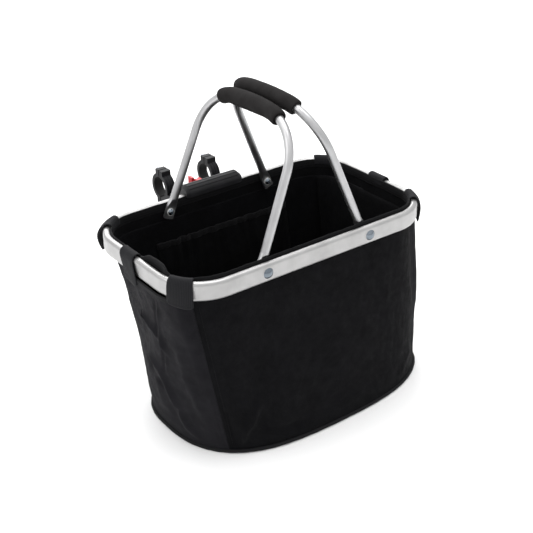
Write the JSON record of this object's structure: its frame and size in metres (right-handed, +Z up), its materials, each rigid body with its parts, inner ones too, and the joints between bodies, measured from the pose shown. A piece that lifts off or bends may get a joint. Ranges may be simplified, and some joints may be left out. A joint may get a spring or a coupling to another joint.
{
  "type": "handlebar basket",
  "caption": "Folding handlebar basket: aluminium rim with a soft black bag, two folding bail handles with foam grips, and a quick-release adapter with bar clamps.",
  "frame": {"origin": "on the floor, on the underside of the base, straight under the centre of the rim", "axes": "+Z up; +X along the basket's long side; +Y towards the handlebar clamps"},
  "size_m": [0.3616, 0.2917, 0.3709],
  "materials": {
    "rim_metal": "satin anodised",
    "handle_metal": "satin anodised",
    "steel": "bright plated",
    "nylon": "natural",
    "foam": "matte closed-cell foam",
    "cloth": "plain woven polyester",
    "cloth_side": "plain woven polyester",
    "lining": "coated, matte",
    "binding": "ribbed tape",
    "webbing": "woven webbing",
    "board": "sheet",
    "plastic": "fine grained",
    "shim": "matte",
    "button_red": "semi gloss",
    "zinc": "zinc plated"
  },
  "bodies": {
    "basket": {"rim_frame": "rim_metal", "rim_splice": "rim_metal", "pivot_rivets": "steel", "pivot_screws": "steel", "pivot_washers": "nylon", "bag_front_panel": "cloth", "bag_back_panel": "cloth", "bag_left_end": "cloth_side", "bag_right_end": "cloth_side", "left_end_lining": "lining", "right_end_lining": "lining", "left_grip_edge": "binding", "right_grip_edge": "binding", "hem_binding": "binding", "strap_front_left": "webbing", "strap_end_left": "webbing", "strap_back_left": "webbing", "strap_front_right": "webbing", "strap_end_right": "webbing", "strap_back_right": "webbing", "pocket_panel": "lining", "pocket_elastic": "binding", "mounting_plate": "plastic", "plate_screws": "zinc", "plate_nuts": "zinc"},
    "base": {"base_panel": "cloth", "base_board": "board", "base_piping": "binding"},
    "left_handle": {"left_handle_tube": "handle_metal", "left_grip": "foam"},
    "right_handle": {"right_handle_tube": "handle_metal", "right_grip": "foam"},
    "adapter": {"adapter_body": "plastic", "left_clamp_cap": "plastic", "right_clamp_cap": "plastic", "clamp_bolts": "zinc", "clamp_inserts": "zinc", "bar_shims": "shim", "button_spring": "zinc"},
    "button": {"release_button": "button_red", "latch_tongue": "zinc"}
  },
  "joints": [
    {"name": "left_handle_fold", "type": "hinge", "parent": "basket", "child": "left_handle", "pos_m": [-0.069, 0, 0.21325], "axis": [0, -1, 0], "range_deg": [0, 95]},
    {"name": "right_handle_fold", "type": "hinge", "parent": "basket", "child": "right_handle", "pos_m": [0.069, 0, 0.21325], "axis": [0, 1, 0], "range_deg": [0, 95]},
    {"name": "bag_collapse", "type": "slide", "parent": "basket", "child": "base", "axis": [0, 0, 1], "range_m": [0, 0.165], "deforming": ["bag_front_panel", "bag_back_panel", "bag_left_end", "bag_right_end", "left_end_lining", "right_end_lining", "pocket_panel", "pocket_elastic"]},
    {"name": "adapter_release", "type": "slide", "parent": "basket", "child": "adapter", "axis": [0, 0, -1], "range_m": [0, 0.1]},
    {"name": "release_press", "type": "slide", "parent": "adapter", "child": "button", "axis": [0, 0, -1], "range_m": [0, 0.005], "stiffness_N_per_m": 300, "springref_m": -0.002, "deforming": ["button_spring"]}
  ]
}
